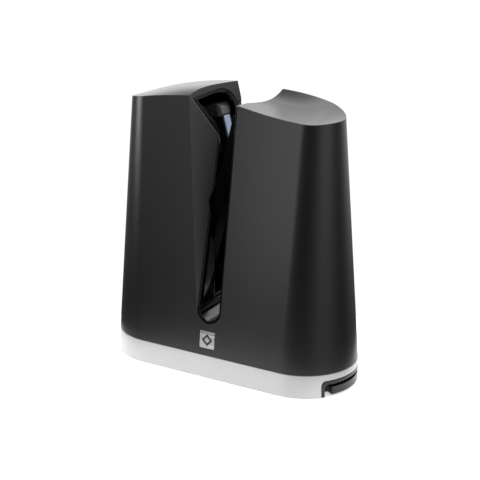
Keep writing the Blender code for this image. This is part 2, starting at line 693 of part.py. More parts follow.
def arm(side, word, material):
    """Moulded arm: hub round the pin, straight leg, pocket for the stone and a tongue for the cap."""
    low, high = arm_span(side)
    knife = -side                               # direction of the knife in the arm's own X
    top = STONE_TOP + GAP
    foot = [(1.0 * MM - HUB_RADIUS, -2.0 * MM), (HUB_RADIUS - 3.0 * MM, 0.0)]
    leg = foot + [(-STONE_PROUD, LEG_START), (-STONE_PROUD, top), (-ARM_DEPTH, top), (-ARM_DEPTH, LEG_START)]
    leg = [(knife * x, z) for x, z in leg]
    body = prism_y("leg", leg, low, high)
    join(body, prism_y("hub", disc((0.0, 0.0), HUB_RADIUS, 20), low, high))
    bore = disc((0.0, 0.0), PIN_RADIUS + PIN_CLEARANCE, 18)
    cut(body, prism_y("bore", bore, low - 0.01, high + 0.01))
    middle = (low + high) / 2.0
    bottom = STONE_TOP - STONE_LENGTH
    xs = sorted((knife * 1.0 * MM, -knife * (STONE_THICKNESS + GAP)))
    cut(body, block("pocket", (xs[0], middle - STONE_WIDTH / 2 - GAP, bottom - GAP),
                    (xs[1], middle + STONE_WIDTH / 2 + GAP, TALL)))
    xs = sorted((-knife * TONGUE_FAR, -knife * TONGUE_NEAR))
    join(body, block("tongue", (xs[0], middle - 3.0 * MM, STONE_TOP - 4.0 * MM),
                     (xs[1], middle + 3.0 * MM, STONE_TOP + cap_height(side) - 2.5 * MM)))
    cut(body, prism_y("pin_hole", disc(cap_pin_place(side), 1.05 * MM, 12), -0.05, 0.05))
    body.matrix_world = arm_frame(side)
    return finish(body, word + "_arm", material)


def arm_stone(side, word, material):
    low, high = arm_span(side)
    bar = stone(word + "_stone", STONE_LENGTH, material)
    shift = -STONE_THICKNESS if side < 0 else 0.0
    place = Vector((shift, (low + high) / 2.0, STONE_TOP - STONE_LENGTH))
    bar.matrix_world = arm_frame(side) @ Matrix.Translation(place)
    return bar


def stone_cap(side, word, material):
    """Cap over the stone's top end, pinned to the arm's tongue, rounded towards the knife."""
    low, high = arm_span(side)
    knife = -side
    bottom = STONE_TOP + GAP
    top = bottom + cap_height(side)
    outline = [(-CAP_LENGTH, bottom), (0.2 * MM, bottom), (0.2 * MM, top), (-CAP_LENGTH, top)]
    outline = rounded(outline, [1.0 * MM, 1.2 * MM, 0.45 * cap_height(side), 2.0 * MM], 5)
    cap = prism_y("cap", [(knife * x, z) for x, z in outline], low, high)
    middle = (low + high) / 2.0
    xs = sorted((-knife * (TONGUE_FAR + GAP), -knife * (TONGUE_NEAR - GAP)))
    cut(cap, block("socket", (xs[0], middle - 3.3 * MM, bottom - 1.0 * MM),
                   (xs[1], middle + 3.3 * MM, STONE_TOP + cap_height(side) - 2.2 * MM)),
        prism_y("pin_hole", disc(cap_pin_place(side), 1.05 * MM, 12), -0.05, 0.05))
    cap.matrix_world = arm_frame(side)
    return finish(cap, word + "_stone_cap", material)


def cap_pin(side, word, material):
    low, high = arm_span(side)
    pin = prism_y("pin", disc(cap_pin_place(side), 0.75 * MM, 12), low, high)
    pin.matrix_world = arm_frame(side)
    return finish(pin, word + "_cap_pin", material)


def arm_spring(side, word, material):
    """Torsion spring round the pin beside the hub: one leg to the arm, one down to the deck."""
    radius = 5.8 * MM
    turns = 4
    per_turn = 12
    near, far = (-2.2 * MM, -12.6 * MM) if side < 0 else (2.2 * MM, 12.6 * MM)
    spot = pivot(side)
    points = [(spot.x - 0.5 * MM, far, DECK_TOP + 1.4 * MM)]
    start = math.radians(-60.0)
    for i in range(turns * per_turn + 1):
        angle = start + 2.0 * math.pi * i / per_turn
        share = i / (turns * per_turn)
        points.append((spot.x + radius * math.cos(angle), far + (near - far) * share,
                       spot.z + radius * math.sin(angle)))
    points.append((points[-1][0] + 6.0 * MM, near, points[-1][2] + 4.5 * MM))
    curve = bpy.data.curves.new(word + "_arm_spring", "CURVE")
    curve.dimensions = "3D"
    curve.bevel_depth = 0.6 * MM
    curve.bevel_resolution = 1
    curve.use_fill_caps = True
    spline = curve.splines.new("POLY")
    spline.points.add(len(points) - 1)
    for point, place in zip(spline.points, points):
        point.co = (*place, 1.0)
    curve.materials.append(material)
    obj = bpy.data.objects.new(word + "_arm_spring", curve)
    bpy.context.scene.collection.objects.link(obj)
    return obj


def mechanism(metal, black, rubber, grey, abrasive):
    frame_plate("frame_plate_front", -1, metal)
    frame_plate("frame_plate_rear", 1, metal)
    reach = FRAME_PLATE_Y + FRAME_PLATE_THICKNESS
    for side, word in ((-1, "left"), (1, "right")):
        low, high = arm_span(side)
        spot = pivot(side)
        headed_rod(word + "_arm_pin", spot, PIN_RADIUS, 4.0 * MM, metal)
        headed_rod(word + "_rest_rod", rod_place(side), ROD_RADIUS, 3.2 * MM, metal)
        clip = ring_y("clip", spot, 4.4 * MM, PIN_RADIUS + 0.15 * MM, reach + GAP, reach + 1.2 * MM)
        finish(clip, word + "_pin_clip", metal)
        clip = ring_y("clip", rod_place(side), 3.6 * MM, ROD_RADIUS + 0.15 * MM,
                      reach + GAP, reach + 1.2 * MM)
        finish(clip, word + "_rod_clip", metal)
        sleeve = ring_y("sleeve", rod_place(side), SLEEVE_RADIUS, ROD_RADIUS + 0.15 * MM,
                        -FRAME_PLATE_Y + GAP, FRAME_PLATE_Y - GAP)
        finish(sleeve, word + "_rest_sleeve", rubber)
        outer_end = high if side < 0 else low
        ends = sorted((outer_end - side * GAP, -side * (FRAME_PLATE_Y - GAP)))
        spacer = ring_y("spacer", spot, 5.0 * MM, PIN_RADIUS + PIN_CLEARANCE, *ends)
        finish(spacer, word + "_arm_spacer", black)
        ends = sorted((-side * (ARM_SPLIT - GAP), side * (FRAME_PLATE_Y - GAP)))
        guide = ring_y("guide", spot, 4.4 * MM, PIN_RADIUS + PIN_CLEARANCE, *ends)
        finish(guide, word + "_spring_guide", black)
        arm_spring(side, word, metal)
        arm(side, word, black)
        arm_stone(side, word, abrasive)
        stone_cap(side, word, grey if side < 0 else black)
        cap_pin(side, word, metal)


# ---- drawer --------------------------------------------------------------------------------
def end_round(name, radius, low, high):
    """Everything that lies inside a radius of the right end, and all that is left of it."""
    centre = end_centre(0.0)
    outline = [(centre + radius * math.cos(math.radians(a)), radius * math.sin(math.radians(a)))
               for a in range(-90, 91, 10)]
    outline += [(-BASE_LENGTH, radius), (-BASE_LENGTH, -radius)]
    return prism_z(name, outline, low, high)


DRAWER_END_RADIUS = END_RADIUS - 11.5 * MM
SPARE_PITCH = (2.0 * DRAWER_HALF_WIDTH - 2.0 * DRAWER_WALL) / SPARE_STONES


def drawer_tray(material):
    tray = block("tray", (DRAWER_INNER_END, -DRAWER_HALF_WIDTH, DRAWER_FLOOR),
                 (BASE_LENGTH, DRAWER_HALF_WIDTH, DRAWER_TOP))
    boolean(tray, end_round("end", DRAWER_END_RADIUS, 0.0, 20.0 * MM), "INTERSECT")
    side = DRAWER_HALF_WIDTH - DRAWER_WALL
    inside = block("inside", (DRAWER_INNER_END + DRAWER_WALL, -side, DRAWER_FLOOR + DRAWER_WALL),
                   (BASE_LENGTH, side, 20.0 * MM))
    boolean(inside, end_round("end", DRAWER_END_RADIUS - DRAWER_WALL, 0.0, 30.0 * MM), "INTERSECT")
    cut(tray, inside)
    for i in range(1, SPARE_STONES):
        y = -side + i * SPARE_PITCH
        join(tray, block("divider", (DRAWER_INNER_END + DRAWER_WALL / 2.0, y - 0.5 * MM,
                                     DRAWER_FLOOR + DRAWER_WALL / 2.0),
                         (DRAWER_INNER_END + STONE_LENGTH + 8.0 * MM, y + 0.5 * MM,
                          DRAWER_FLOOR + DRAWER_WALL + 2.4 * MM)))
    return finish(tray, "drawer_tray", material)


def arc_wall(name, inner, outer, half_angle, low, high):
    """Wall round the right end between two radii."""
    centre = end_centre(0.0)
    steps = 16
    angles = [math.radians(half_angle * (2.0 * i / steps - 1.0)) for i in range(steps + 1)]
    outline = [(centre + outer * math.cos(a), outer * math.sin(a)) for a in angles]
    outline += [(centre + inner * math.cos(a), inner * math.sin(a)) for a in reversed(angles)]
    return prism_z(name, outline, low, high)


def drawer_front(material):
    """Curved front with a deep lower lip and a thin upper rib as finger grip."""
    face = DRAWER_END_RADIUS + 5.0 * MM
    root = face - 1.5 * MM
    lip = END_RADIUS - 1.1 * MM
    rib = END_RADIUS - 2.6 * MM
    front = arc_wall("front", DRAWER_END_RADIUS + GAP, face, 38.0, DRAWER_FLOOR, DRAWER_TOP)
    join(front, arc_wall("lip", root, lip, 32.0, DRAWER_FLOOR, DRAWER_FLOOR + 2.8 * MM),
         arc_wall("rib", root, rib, 32.0, DRAWER_FLOOR + 3.9 * MM, DRAWER_FLOOR + 4.9 * MM))
    return finish(front, "drawer_front", material)


def drawer(black, abrasive, fine):
    drawer_tray(black)
    drawer_front(black)
    side = DRAWER_HALF_WIDTH - DRAWER_WALL
    for i in range(SPARE_STONES):
        bar = stone("spare_stone_" + str(i + 1), STONE_LENGTH, abrasive if i % 2 else fine)
        y = -side + (i + 0.5) * SPARE_PITCH
        bar.rotation_euler = (0.0, math.pi / 2.0, 0.0)
        bar.location = (DRAWER_INNER_END + DRAWER_WALL + 2.0 * MM, y,
                        DRAWER_FLOOR + DRAWER_WALL + GAP + STONE_THICKNESS)
    for word, turn in (("front", -1), ("rear", 1)):
        ys = sorted((turn * (DRAWER_HALF_WIDTH + 0.9 * MM), turn * (DRAWER_HALF_WIDTH + 2.9 * MM)))
        rail = block("rail", (DRAWER_INNER_END, ys[0], PLATE_TOP + GAP),
                     (end_centre(0.0) - 8.2 * MM, ys[1], DRAWER_TOP))
        finish(rail, "drawer_rail_" + word, black)


# ---- the whole sharpener -------------------------------------------------------------------
def build():
    clear_scene()
    satin = make_material("satin_black_plastic", (0.028, 0.028, 0.029), 0.45)
    gloss = make_material("gloss_black_plastic", (0.008, 0.008, 0.009), 0.08)
    silver = make_material("silver_band", (0.62, 0.62, 0.63), 0.35, 0.6)
    badge = make_material("badge_metal", (0.72, 0.72, 0.72), 0.3, 1.0)
    steel = make_material("steel", (0.55, 0.55, 0.56), 0.3, 1.0)
    rubber = make_material("rubber", (0.02, 0.02, 0.02), 0.8)
    grey = make_material("dark_grey_plastic", (0.06, 0.06, 0.065), 0.4)
    coarse = make_material("coarse_stone", (0.45, 0.5, 0.66), 0.7)
    fine = make_material("fine_stone", (0.75, 0.75, 0.72), 0.6)
    housing_shell(satin)
    slot_liner(-1, gloss)
    slot_liner(1, gloss)
    slot_floor(gloss)
    emblem_plate(badge)
    base_band(silver)
    doorway_rim(satin)
    base_plate(satin)
    base_deck(satin)
    feet(rubber)
    seat = PLATE_TOP - 0.3 * MM
    screws("base_screw", BASE_SCREWS, seat, DECK_TOP - 2.0 * MM, steel)
    screws("shell_screw", shell_boss_places(), DECK_BOTTOM - GAP, BAND_TOP + 9.0 * MM, steel)
    flange_top = DECK_TOP + GAP + 1.8 * MM
    screws("frame_screw", frame_screw_places(), flange_top + GAP, DECK_BOTTOM - 0.8 * MM, steel)
    mechanism(steel, gloss, rubber, grey, coarse)
    drawer(gloss, coarse, fine)


build()
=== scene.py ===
"""Looks of a table-top knife sharpener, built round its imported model. Metres, +Z up, badge side at -Y."""

import json
import math

import bmesh
import bpy
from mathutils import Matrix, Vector


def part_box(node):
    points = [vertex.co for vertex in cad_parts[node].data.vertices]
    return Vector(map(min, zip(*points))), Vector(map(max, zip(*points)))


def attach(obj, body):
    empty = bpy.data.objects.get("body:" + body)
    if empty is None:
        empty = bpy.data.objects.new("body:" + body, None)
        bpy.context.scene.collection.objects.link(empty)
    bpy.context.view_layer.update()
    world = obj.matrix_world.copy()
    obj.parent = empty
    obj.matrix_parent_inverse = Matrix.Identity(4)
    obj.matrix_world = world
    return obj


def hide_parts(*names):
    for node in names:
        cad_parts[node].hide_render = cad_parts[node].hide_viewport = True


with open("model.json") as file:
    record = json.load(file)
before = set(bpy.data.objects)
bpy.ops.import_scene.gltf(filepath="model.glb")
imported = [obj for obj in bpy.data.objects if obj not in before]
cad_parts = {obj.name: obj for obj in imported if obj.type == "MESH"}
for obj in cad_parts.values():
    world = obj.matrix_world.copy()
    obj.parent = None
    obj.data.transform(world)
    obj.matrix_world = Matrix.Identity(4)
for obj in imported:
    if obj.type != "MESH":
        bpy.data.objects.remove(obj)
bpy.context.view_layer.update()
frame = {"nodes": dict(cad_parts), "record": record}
MM = 0.001

# ---- Housing shell ---------------------------------------------------------------------------
# One injection-moulded ABS hood: straight faces and half-round ends that draw in towards the top,
# two humps, and the knife slot between them. The tool is spark-eroded, so the outside is satin.


def linear(hex_colour):
    """Linear RGBA of an sRGB colour such as 1c1c1d."""
    parts = [int(hex_colour[i:i + 2], 16) / 255.0 for i in (0, 2, 4)]
    return (*[p / 12.92 if p <= 0.04045 else ((p + 0.055) / 1.055) ** 2.4 for p in parts], 1.0)


def new_material(name):
    material = bpy.data.materials.new(name)
    material.use_nodes = True
    for spare in list(material.node_tree.nodes):
        material.node_tree.nodes.remove(spare)
    return material


def add_node(material, kind, links=(), **settings):
    """Adds a node; a link is (own socket, other node, its output), a setting a property or a socket."""
    tree = material.node_tree
    made = tree.nodes.new("ShaderNode" + kind)
    for name, value in settings.items():
        if hasattr(made, name):
            setattr(made, name, value)
        else:
            made.inputs[name.replace("_", " ")].default_value = value
    for socket, source, output in links:
        tree.links.new(source.outputs[output], made.inputs[socket])
    return made


def ramp_stops(ramp, *stops):
    """Sets the colours of a ramp from (position, colour) pairs."""
    elements = ramp.color_ramp.elements
    while len(elements) < len(stops):
        elements.new(0.5)
    for element, (position, colour) in zip(elements, stops):
        element.position = position
        element.color = colour


# Spark-eroded black ABS: a fine even grain that breaks the reflection into a soft satin sheen.
def eroded_abs(name, dark, light, low_gloss, high_gloss, grain_mm, depth_mm):
    material = new_material(name)
    place = add_node(material, "TexCoord")
    grain = add_node(material, "TexNoise", [("Vector", place, "Object")],
                     Scale=1000.0 / grain_mm, Detail=3.0, Roughness=0.55)
    cloud = add_node(material, "TexNoise", [("Vector", place, "Object")], Scale=14.0, Detail=2.0)
    tint = add_node(material, "ValToRGB", [("Fac", cloud, "Fac")])
    ramp_stops(tint, (0.3, linear(dark)), (0.7, linear(light)))
    gloss = add_node(material, "MapRange", [("Value", grain, "Fac")],
                     From_Min=0.3, From_Max=0.7, To_Min=low_gloss, To_Max=high_gloss)
    edge = add_node(material, "Bevel", samples=4, Radius=0.8 * MM)
    bump = add_node(material, "Bump", [("Height", grain, "Fac"), ("Normal", edge, "Normal")],
                    Strength=0.35, Distance=depth_mm * MM)
    shader = add_node(material, "BsdfPrincipled", [("Base Color", tint, "Color"),
                                                   ("Roughness", gloss, "Result"),
                                                   ("Normal", bump, "Normal")], IOR=1.5)
    add_node(material, "OutputMaterial", [("Surface", shader, "BSDF")])
    return material


satin_black = eroded_abs("abs_black_eroded_satin", "131314", "161617", 0.29, 0.36, 0.7, 0.02)

# The two lead-in facets are set lighter and a little duller than the shell. The lighter base colour is painted
# light:
# it brightens the facets by the light that falls on the real ones and that the lamps here don't bring to them.
facet_painted_light = eroded_abs("abs_black_eroded_dull_painted_light", "373738", "3c3c3d", 0.42, 0.50, 0.7, 0.02)

half_length = lambda z: 99.2 * MM - 0.0723 * z       # half size along X, and along Y, at a height
half_depth = lambda z: 41.0 * MM - 0.1022 * z
BAND_TOP = 17.0 * MM
GAP = 0.3 * MM
SHELL_WALL = 2.6 * MM
TALL = 240.0 * MM
SLOT_X = -1.0 * MM
SLOT_Z = 51.0 * MM
SLOT_RADIUS = 10.0 * MM
SLOT_FLARE = {-1: 0.018, 1: 0.0374}       # outward lean of the left and right channel walls
FACET_TURN = 0.424                        # plan slope of both facets
FACET_LEAN = {-1: 0.1383, 1: 0.1633}
FACET_START = {-1: 11.13 * MM, 1: -14.5 * MM}
WINDOW_REAR = 16.8 * MM
WINDOW_FRONT = -15.6 * MM
WINDOW_HEAD = 204.9 * MM


def start_piece(name):
    """Names the primitive just added and opens it for editing, with nothing else selected."""
    piece = bpy.context.object
    piece.name = name
    piece.data.name = name
    bpy.ops.object.transform_apply(location=True, rotation=True, scale=True)
    bpy.ops.object.mode_set(mode="EDIT")
    return piece


def pick(test, kind="verts"):
    """Selects the vertices or faces of the piece in edit mode whose place (and normal) pass a test."""
    bm = bmesh.from_edit_mesh(bpy.context.object.data)
    bm.select_mode = {"FACE"} if kind == "faces" else {"VERT"}
    for item in list(bm.faces) + list(bm.edges) + list(bm.verts):
        item.select = False
    for item in getattr(bm, kind):
        where = item.calc_center_median() if kind == "faces" else item.co
        if test(where, item.normal):
            item.select_set(True)
    bm.select_flush_mode()
    bmesh.update_edit_mesh(bpy.context.object.data)


def slice_off(point, normal):
    """Cuts the piece in edit mode by a plane, drops the side that the normal points to and closes it."""
    bpy.ops.mesh.select_all(action="SELECT")
    bpy.ops.mesh.bisect(plane_co=point, plane_no=normal, use_fill=True, clear_outer=True)


def combine(piece, tool, operation="DIFFERENCE"):
    """Applies a boolean of one piece with another and throws the other away."""
    bpy.ops.object.select_all(action="DESELECT")
    bpy.context.view_layer.objects.active = piece
    piece.select_set(True)
    step = piece.modifiers.new("boolean", "BOOLEAN")
    step.operation = operation
    step.solver = "EXACT"
    step.object = tool
    bpy.ops.object.modifier_apply(modifier=step.name)
    bpy.data.objects.remove(tool, do_unlink=True)
    return piece


def stadium(name, low, high, inset=0.0, segments=144):
    """Solid with straight faces and half-round ends, drawn in towards the top."""
    bpy.ops.object.select_all(action="DESELECT")
    bpy.ops.mesh.primitive_cylinder_add(vertices=segments, radius=1.0, depth=high - low,
                                        location=(0.0, 0.0, (low + high) / 2.0),
                                        rotation=(0.0, 0.0, math.pi / segments))
    piece = start_piece(name)
    middle = (low + high) / 2.0
    for level, upper in ((low, False), (high, True)):
        radius = half_depth(level) - inset
        pick(lambda co, n: (co.z > middle) == upper)
        bpy.ops.transform.resize(value=(radius, radius, 1.0), center_override=(0.0, 0.0, level))
        for side in (-1.0, 1.0):
            pick(lambda co, n: (co.z > middle) == upper and co.x * side > 0.0)
            bpy.ops.transform.translate(value=(side * (half_length(level) - half_depth(level)), 0.0, 0.0))
    bpy.ops.object.mode_set(mode="OBJECT")
    return piece


def left_top(x, depth):
    """Height of the left hump; depth runs from 0 at the front face to 1 at the rear."""
    front = 204.1 * MM - 1.25 * (x + 5.0 * MM) ** 2
    rear = 209.8 * MM - 1.95 * x ** 2
    power = 1.8 + 3.2 * min(1.0, max(0.0, (x + 85.0 * MM) / (60.0 * MM)))
    return front + (rear - front) * (1.0 - (1.0 - depth) ** power)


def right_top(x, depth):
    """Height of the right hump: a scoop that rises to a lip along the rear."""
    front = 192.8 * MM + 0.725 * abs(x - 72.0 * MM) ** 1.6
    rear = 207.9 * MM - 2.93 * (x - 18.0 * MM) ** 2
    power = 6.5 - 5.2 * min(1.0, max(0.0, (x - 14.0 * MM) / (56.0 * MM)))
    return front + (rear - front) * depth ** power


def sky(side, drop=0.0, columns=44, rows=44):
    """Everything above one hump, lowered by drop: a grid shaped to the hump and pulled up."""
    reach = 103.0 * MM
    edge = half_depth(204.1 * MM)
    span = 2.6 * edge
    bpy.ops.object.select_all(action="DESELECT")
    bpy.ops.mesh.primitive_grid_add(x_subdivisions=columns, y_subdivisions=rows, size=1.0)
    piece = start_piece("sky")
    bpy.ops.transform.resize(value=(reach, span, 1.0), center_override=(0.0, 0.0, 0.0))
    bpy.ops.transform.translate(value=(side * reach / 2.0 + SLOT_X, 0.0, 0.0))
    top = left_top if side < 0 else right_top
    bpy.ops.object.mode_set(mode="OBJECT")
    for vertex in piece.data.vertices:
        depth = min(1.0, max(0.0, (vertex.co.y / edge + 1.0) / 2.0))
        vertex.co.z = top(vertex.co.x, depth) - drop
    bpy.ops.object.mode_set(mode="EDIT")
    bpy.ops.mesh.select_all(action="SELECT")
    bpy.ops.mesh.extrude_region_move(TRANSFORM_OT_translate={"value": (0.0, 0.0, 0.1)})
    bpy.ops.transform.resize(value=(1.0, 1.0, 0.0), center_override=(0.0, 0.0, TALL))
    bpy.ops.mesh.select_all(action="SELECT")
    bpy.ops.mesh.normals_make_consistent(inside=False)
    bpy.ops.object.mode_set(mode="OBJECT")
    return piece


def channel(name, inset=0.0, segments=64):
    """The knife channel: half-round floor along Y, walls that flare upwards."""
    bpy.ops.object.select_all(action="DESELECT")
    bpy.ops.mesh.primitive_cylinder_add(vertices=segments, radius=SLOT_RADIUS - inset, depth=164.0 * MM,
                                        location=(SLOT_X, 0.0, SLOT_Z), rotation=(math.pi / 2.0, 0.0, 0.0))
    piece = start_piece(name)
    bpy.ops.mesh.select_all(action="SELECT")
    bpy.ops.mesh.bisect(plane_co=(0.0, 0.0, SLOT_Z), plane_no=(0.0, 0.0, 1.0), clear_outer=True)
    pick(lambda co, n: co.z > SLOT_Z - 1e-6)
    bpy.ops.mesh.extrude_region_move(TRANSFORM_OT_translate={"value": (0.0, 0.0, TALL - SLOT_Z)})
    for side, flare in SLOT_FLARE.items():
        pick(lambda co, n: co.z > TALL - MM and (co.x - SLOT_X) * side > 0.0)
        bpy.ops.transform.translate(value=(side * flare * (TALL - SLOT_Z), 0.0, 0.0))
    pick(lambda co, n: co.z > TALL - MM)
    bpy.ops.mesh.edge_face_add()
    # the rear of the left wall swings in to the foot of the arch
    foot = (-13.3 * MM + inset, 0.6 * MM, 178.0 * MM)
    bpy.ops.mesh.select_all(action="SELECT")
    bpy.ops.mesh.normals_make_consistent(inside=False)
    slice_off(foot, Vector((-1.0, 0.2475, 0.04695)).normalized())
    bpy.ops.object.mode_set(mode="OBJECT")
    return piece


def facet(side, proud=0.0):
    """Lead-in room beside one facet: the left facet opens to the front, the right one to the rear."""
    bpy.ops.object.select_all(action="DESELECT")
    middle = (SLOT_X + side * 40.0 * MM, 0.0, (SLOT_Z + TALL) / 2.0)
    bpy.ops.mesh.primitive_cube_add(size=1.0, location=middle,
                                    scale=(80.0 * MM, 164.0 * MM, TALL - SLOT_Z))
    piece = start_piece("facet")
    normal = Vector((side, -side * FACET_TURN, -FACET_LEAN[side])).normalized()
    slice_off(Vector((FACET_START[side], 0.0, 0.0)) - normal * proud, normal)
    bpy.ops.object.mode_set(mode="OBJECT")
    return piece


def slot_room(inset=0.0):
    room = channel("slot_room", inset)
    for side in (-1, 1):
        combine(room, facet(side, inset), "UNION")
    return room


def rounded_outline(points, radii, steps=8):
    """Outline with every corner replaced by an arc of its own radius."""
    outline = []
    for i, (point, radius) in enumerate(zip(points, radii)):
        corner = Vector(point)
        before = (Vector(points[i - 1]) - corner).normalized()
        after = (Vector(points[(i + 1) % len(points)]) - corner).normalized()
        half = before.angle(after) / 2.0
        centre = corner + (before + after).normalized() * radius / math.sin(half)
        start = corner + before * radius / math.tan(half) - centre
        end = corner + after * radius / math.tan(half) - centre
        turn = start.angle_signed(end)
        for k in range(steps + 1):
            angle = -turn * k / steps
            outline.append((centre.x + start.x * math.cos(angle) - start.y * math.sin(angle),
                            centre.y + start.x * math.sin(angle) + start.y * math.cos(angle)))
    return outline


def extruded_outline(name, corners, along):
    """Solid from a closed outline of 3-D points, filled and extruded along a vector."""
    mesh = bpy.data.meshes.new(name)
    mesh.from_pydata(corners, [(i, (i + 1) % len(corners)) for i in range(len(corners))], [])
    piece = bpy.data.objects.new(name, mesh)
    bpy.context.scene.collection.objects.link(piece)
    bpy.ops.object.select_all(action="DESELECT")
    bpy.context.view_layer.objects.active = piece
    piece.select_set(True)
    bpy.ops.object.mode_set(mode="EDIT")
    bpy.ops.mesh.select_all(action="SELECT")
    bpy.ops.mesh.edge_face_add()
    bpy.ops.mesh.extrude_region_move(TRANSFORM_OT_translate={"value": along})
    bpy.ops.mesh.select_all(action="SELECT")
    bpy.ops.mesh.normals_make_consistent(inside=False)
    bpy.ops.object.mode_set(mode="OBJECT")
    return piece


def window(side, inset=0.0, reach=57.0 * MM):
    """Room that one arm needs through the slot's side: tall, with a lip towards the open facet."""
    rear = WINDOW_REAR - inset
    front = WINDOW_FRONT + inset
    lip = -1.1 * MM + inset
    head = WINDOW_HEAD - inset
    points = [(front, 54.0 * MM + inset), (rear, 54.0 * MM + inset)]
    radii = [3.0 * MM, 3.0 * MM]
    if side < 0:
        points += [(rear, head + 0.216 * rear), (-17.6 * MM + 1.6 * inset, head - 3.8 * MM)]
        radii += [12.0 * MM, 1.0 * MM]
    else:
        points += [(rear, 196.0 * MM - inset), (-13.0 * MM + 1.6 * inset, 196.0 * MM - inset)]
        radii += [9.0 * MM, 1.0 * MM]
    points += [(lip, 180.8 * MM), (lip, 152.0 * MM), (front, 128.0 * MM)]
    radii += [22.0 * MM, 8.0 * MM, 8.0 * MM]
    turn = -side
    corners = [(side * -1.0 * MM, turn * y, z) for y, z in rounded_outline(points, radii)]
    return extruded_outline("window", corners, (side * (reach + 1.0 * MM), 0.0, 0.0))


def finish_piece(piece, body, material, slot, *nodes, angle=30.0):
    """Cleans and smooths a piece, keeps its flat faces flat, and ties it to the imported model."""
    bpy.ops.object.select_all(action="DESELECT")
    bpy.context.view_layer.objects.active = piece
    piece.select_set(True)
    bpy.ops.object.mode_set(mode="EDIT")
    bpy.ops.mesh.select_all(action="SELECT")
    bpy.ops.mesh.remove_doubles(threshold=1e-6)
    bpy.ops.object.mode_set(mode="OBJECT")
    bpy.ops.object.shade_smooth_by_angle(angle=math.radians(angle), keep_sharp_edges=False)
    flat = piece.modifiers.new("flat faces", "WEIGHTED_NORMAL")
    flat.keep_sharp = True
    bpy.ops.object.modifier_apply(modifier=flat.name)
    piece.data.materials.clear()
    piece.data.materials.append(material)
    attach(piece, body)
    if nodes:
        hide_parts(*nodes)
    return piece


shell = stadium("shell_hood", BAND_TOP + GAP, 230.0 * MM)
hollow = stadium("hollow", BAND_TOP - 5.0 * MM, 235.0 * MM, SHELL_WALL)
for side in (-1, 1):
    combine(hollow, sky(side, SHELL_WALL, 16, 16))
combine(hollow, slot_room(-SHELL_WALL))
combine(shell, hollow)
for side in (-1, 1):
    combine(shell, sky(side))
combine(shell, slot_room())
for side in (-1, 1):
    combine(shell, window(side, 0.0, 30.0 * MM))
plate_low, plate_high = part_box("emblem_plate")
bpy.ops.object.select_all(action="DESELECT")
recess_middle = ((plate_low[0] + plate_high[0]) / 2.0, plate_low[1] - 2.9 * MM,
                 (plate_low[2] + plate_high[2]) / 2.0)
bpy.ops.mesh.primitive_cube_add(size=1.0, location=recess_middle, scale=(13.2 * MM, 10.0 * MM, 13.4 * MM))
recess = start_piece("recess")
bpy.ops.object.mode_set(mode="OBJECT")
combine(shell, recess)
finish_piece(shell, "housing", satin_black, "satin_black_plastic", "housing_shell", angle=24.0)
# the facets' faces take the lighter material, painted light
shell.data.materials.append(facet_painted_light)
for face in shell.data.polygons:
    for side, lean in FACET_LEAN.items():
        if face.normal.dot(Vector((-side, side * FACET_TURN, lean)).normalized()) > 0.9999:
            face.material_index = 1

# ---- Slot inserts and slot floor ---------------------------------------------------------------
# Three high-gloss ABS mouldings clipped into the shell: the two side walls with the pockets the arms
# swing into, and the trough at the foot. The tool is mirror polished, with slight flow waviness.


# Polished black ABS: a clear, nearly mirror reflection, a little wavy from the moulding.
def polished_abs(name, colour, gloss, wave_mm):
    material = new_material(name)
    place = add_node(material, "TexCoord")
    wave = add_node(material, "TexNoise", [("Vector", place, "Object")], Scale=1000.0 / wave_mm, Detail=1.0)
    scuff = add_node(material, "TexNoise", [("Vector", place, "Object")], Scale=420.0, Detail=4.0)
    tint = add_node(material, "ValToRGB", [("Fac", scuff, "Fac")])
    ramp_stops(tint, (0.35, linear(colour)), (0.75, linear("0b0b0c")))
    shine = add_node(material, "MapRange", [("Value", scuff, "Fac")],
                     From_Min=0.3, From_Max=0.75, To_Min=gloss, To_Max=gloss + 0.07)
    edge = add_node(material, "Bevel", samples=4, Radius=0.5 * MM)
    bump = add_node(material, "Bump", [("Height", wave, "Fac"), ("Normal", edge, "Normal")],
                    Strength=0.25, Distance=0.12 * MM)
    shader = add_node(material, "BsdfPrincipled", [("Base Color", tint, "Color"),
                                                   ("Roughness", shine, "Result"),
                                                   ("Normal", bump, "Normal")], IOR=1.53)
    add_node(material, "OutputMaterial", [("Surface", shader, "BSDF")])
    return material


gloss_black = polished_abs("abs_black_polished", "050506", 0.07, 16.0)


def smoothed_copy(node, name, body, material, slot, angle=30.0, edge_mm=0.0):
    """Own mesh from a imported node: merged, its flat faces made whole, its edges eased, smooth shaded."""
    piece = frame["nodes"][node].copy()
    piece.data = frame["nodes"][node].data.copy()
    piece.name = name
    piece.data.name = name
    piece.parent = None
    bpy.context.scene.collection.objects.link(piece)
    bpy.ops.object.select_all(action="DESELECT")
    bpy.context.view_layer.objects.active = piece
    piece.select_set(True)
    bpy.ops.object.mode_set(mode="EDIT")
    bpy.ops.mesh.select_all(action="SELECT")
    bpy.ops.mesh.remove_doubles(threshold=5e-6)
    bpy.ops.mesh.dissolve_limited(angle_limit=math.radians(0.5))
    bpy.ops.object.mode_set(mode="OBJECT")
    if edge_mm:
        ease = piece.modifiers.new("eased edges", "BEVEL")
        ease.width = edge_mm * MM
        ease.segments = 3
        ease.limit_method = "ANGLE"
        ease.angle_limit = math.radians(35.0)
        bpy.ops.object.modifier_apply(modifier=ease.name)
    return finish_piece(piece, body, material, slot, node, angle=angle)


smoothed_copy("slot_liner_left", "left_slot_insert", "housing", gloss_black, "gloss_black_plastic")
smoothed_copy("slot_liner_right", "right_slot_insert", "housing", gloss_black, "gloss_black_plastic")
smoothed_copy("slot_floor", "slot_trough", "housing", gloss_black, "gloss_black_plastic")
